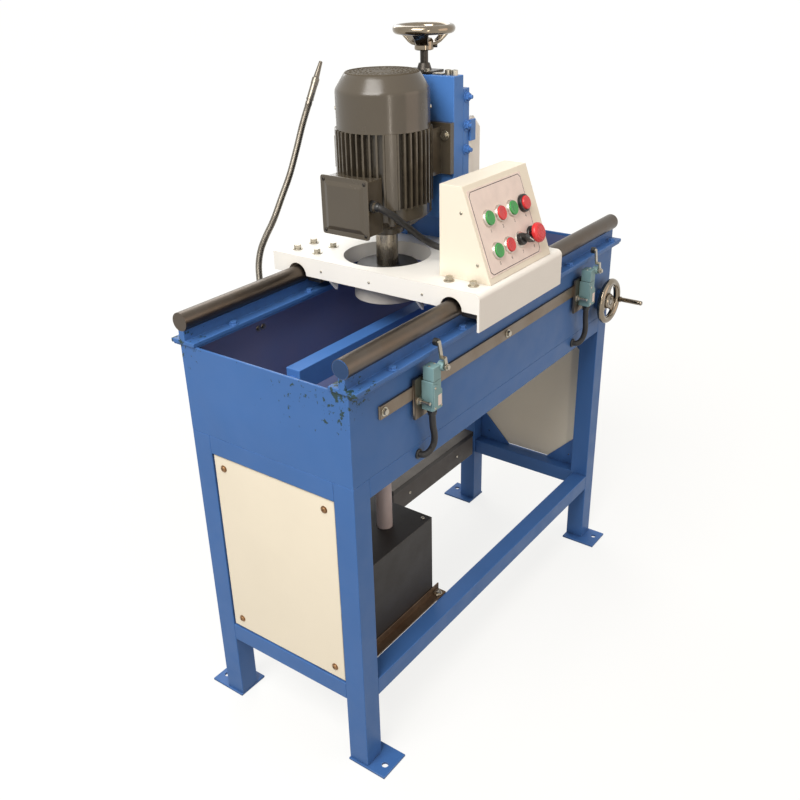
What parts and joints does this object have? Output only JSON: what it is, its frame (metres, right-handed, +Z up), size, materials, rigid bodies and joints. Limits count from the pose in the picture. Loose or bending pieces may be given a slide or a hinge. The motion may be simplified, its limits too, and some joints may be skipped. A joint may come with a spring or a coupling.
{
  "type": "granulator blade sharpener",
  "caption": "Floor-standing knife grinder: a motor-driven cup wheel on a carriage runs along round bars over a coolant tray with a tilting blade table.",
  "frame": {"origin": "floor level, amid the four floor bolts", "axes": "+X along the guide bars towards the handwheel end, +Y away from the operator, +Z up"},
  "size_m": [1.024, 0.5725, 1.3575],
  "materials": {
    "blue_paint": "semi-gloss blue paint",
    "blue_casting": "blue paint over a machined casting",
    "cream_paint": "satin cream paint",
    "white_paint": "satin white paint",
    "bare_steel": "ground or bare steel, lightly oiled",
    "bolts": "zinc-plated",
    "chrome": "polished",
    "dark_paint": "dark matt paint",
    "pipe": "plain plastic pipe",
    "motor_paint": "grey-brown paint over an aluminium casting",
    "cover_paint": "grey-brown paint over pressed steel",
    "switch_case": "blue-green paint over a die casting",
    "black_plastic": "moulded",
    "cable_sheath": "matt black sheath",
    "red_plastic": "moulded",
    "green_plastic": "moulded",
    "pale_bezel": "satin",
    "abrasive": "fine white grit"
  },
  "bodies": {
    "stand": {"legs": "blue_paint", "rails": "blue_paint", "foot_plates": "blue_paint", "corner_tabs": "blue_paint", "end_panels": "cream_paint", "panel_screws": "bolts", "tray": "blue_paint", "rail_bases": "blue_paint", "guide_bars": "bare_steel", "stand_bolts": "bolts", "tank": "dark_paint", "tank_lid": "dark_paint", "tank_rack": "bare_steel", "drain_pipe": "pipe", "electrical_box": "dark_paint", "table_bearings": "blue_paint", "hose_bracket": "bare_steel", "gooseneck_hose": "bare_steel", "spray_nozzle": "bare_steel", "switch_strip": "bare_steel", "switch_bodies": "switch_case", "switch_conduits": "cable_sheath"},
    "knife_table": {"knife_table": "blue_paint", "worm_wheel": "bare_steel"},
    "worm": {"worm_shaft": "bare_steel", "front_handwheel": "chrome", "crank_handle": "chrome"},
    "near_lever": {"near_lever": "bare_steel"},
    "far_lever": {"far_lever": "bare_steel"},
    "near_roller": {"near_roller": "black_plastic"},
    "far_roller": {"far_roller": "black_plastic"},
    "carriage": {"carriage_plate": "white_paint", "bearing_blocks": "bare_steel", "carriage_bolts": "bolts", "console_housing": "white_paint", "button_bezels": "pale_bezel", "column_bracket": "white_paint", "column_saddle": "blue_casting"},
    "green_button_left": {"green_button_left": "green_plastic"},
    "green_button_right": {"green_button_right": "green_plastic"},
    "green_button_lower": {"green_button_lower": "green_plastic"},
    "red_button_upper": {"red_button_upper": "red_plastic"},
    "red_button_lower": {"red_button_lower": "red_plastic"},
    "ringed_button": {"ringed_button": "red_plastic"},
    "selector_knob": {"selector_knob": "black_plastic"},
    "stop_button": {"stop_button": "red_plastic"},
    "head": {"head_slide": "blue_casting", "screw_bridge": "bare_steel", "motor_frame": "motor_paint", "lower_end_bell": "motor_paint", "fan_cover": "cover_paint", "terminal_box": "motor_paint", "terminal_lid": "motor_paint", "motor_cable": "cable_sheath"},
    "rotor": {"rotor_shaft": "bare_steel", "wheel_arbor": "bare_steel", "motor_fan": "black_plastic", "grinding_wheel": "abrasive"},
    "lead_screw": {"lead_screw": "bare_steel", "top_handwheel": "chrome"}
  },
  "joints": [
    {"name": "carriage_slide", "type": "slide", "parent": "stand", "child": "carriage", "axis": [1, 0, 0], "range_m": [-0.105, 0.2]},
    {"name": "head_slide", "type": "slide", "parent": "carriage", "child": "head", "axis": [0, 0, 1], "range_m": [-0.024, 0.04], "deforming": ["motor_cable"]},
    {"name": "spindle_spin", "type": "hinge", "parent": "head", "child": "rotor", "pos_m": [-0.08, 0.038, 1.1], "axis": [0, 0, 1], "continuous": true},
    {"name": "head_screw_turn", "type": "hinge", "parent": "head", "child": "lead_screw", "pos_m": [0.06, 0.038, 1.2], "axis": [0, 0, 1], "range_deg": [-1729, 2881]},
    {"name": "table_tilt", "type": "hinge", "parent": "stand", "child": "knife_table", "pos_m": [0, 0.04, 0.757], "axis": [1, 0, 0], "range_deg": [-45, 45]},
    {"name": "worm_turn", "type": "hinge", "parent": "stand", "child": "worm", "pos_m": [0.456, -0.1, 0.712], "axis": [0, 1, 0], "range_deg": [-1619, 1619]},
    {"name": "green_button_left_press", "type": "slide", "parent": "carriage", "child": "green_button_left", "axis": [0, 0.9374, -0.3482], "range_m": [0, 0.0028], "stiffness_N_per_m": 1200, "springref_m": -0.002},
    {"name": "green_button_right_press", "type": "slide", "parent": "carriage", "child": "green_button_right", "axis": [0, 0.9374, -0.3482], "range_m": [0, 0.0028], "stiffness_N_per_m": 1200, "springref_m": -0.002},
    {"name": "green_button_lower_press", "type": "slide", "parent": "carriage", "child": "green_button_lower", "axis": [0, 0.9374, -0.3482], "range_m": [0, 0.0028], "stiffness_N_per_m": 1200, "springref_m": -0.002},
    {"name": "red_button_upper_press", "type": "slide", "parent": "carriage", "child": "red_button_upper", "axis": [0, 0.9374, -0.3482], "range_m": [0, 0.0028], "stiffness_N_per_m": 1200, "springref_m": -0.002},
    {"name": "red_button_lower_press", "type": "slide", "parent": "carriage", "child": "red_button_lower", "axis": [0, 0.9374, -0.3482], "range_m": [0, 0.0028], "stiffness_N_per_m": 1200, "springref_m": -0.002},
    {"name": "ringed_button_press", "type": "slide", "parent": "carriage", "child": "ringed_button", "axis": [0, 0.9374, -0.3482], "range_m": [0, 0.0028], "stiffness_N_per_m": 1200, "springref_m": -0.002},
    {"name": "stop_press", "type": "slide", "parent": "carriage", "child": "stop_button", "axis": [0, 0.9374, -0.3482], "range_m": [0, 0.005], "stiffness_N_per_m": 1200, "springref_m": -0.003},
    {"name": "selector_turn", "type": "hinge", "parent": "carriage", "child": "selector_knob", "pos_m": [-0.001, -0.2252, 0.98062], "axis": [0, -0.9374, 0.3482], "range_deg": [-45, 45]},
    {"name": "near_lever_swing", "type": "hinge", "parent": "stand", "child": "near_lever", "pos_m": [-0.285, -0.243, 0.822], "axis": [0, 1, 0], "range_deg": [-25, 25], "stiffness_Nm_per_rad": 0.3},
    {"name": "near_roller_spin", "type": "hinge", "parent": "near_lever", "child": "near_roller", "pos_m": [-0.296, -0.229, 0.871], "axis": [0, 1, 0], "continuous": true},
    {"name": "far_lever_swing", "type": "hinge", "parent": "stand", "child": "far_lever", "pos_m": [0.348, -0.243, 0.822], "axis": [0, 1, 0], "range_deg": [-25, 25], "stiffness_Nm_per_rad": 0.3},
    {"name": "far_roller_spin", "type": "hinge", "parent": "far_lever", "child": "far_roller", "pos_m": [0.337, -0.229, 0.871], "axis": [0, 1, 0], "continuous": true}
  ],
  "couplings": [
    {"joint": "head_screw_turn", "follows": "head_slide", "rad_per_m": 1256.6},
    {"joint": "table_tilt", "follows": "worm_turn", "ratio": 0.027778}
  ]
}
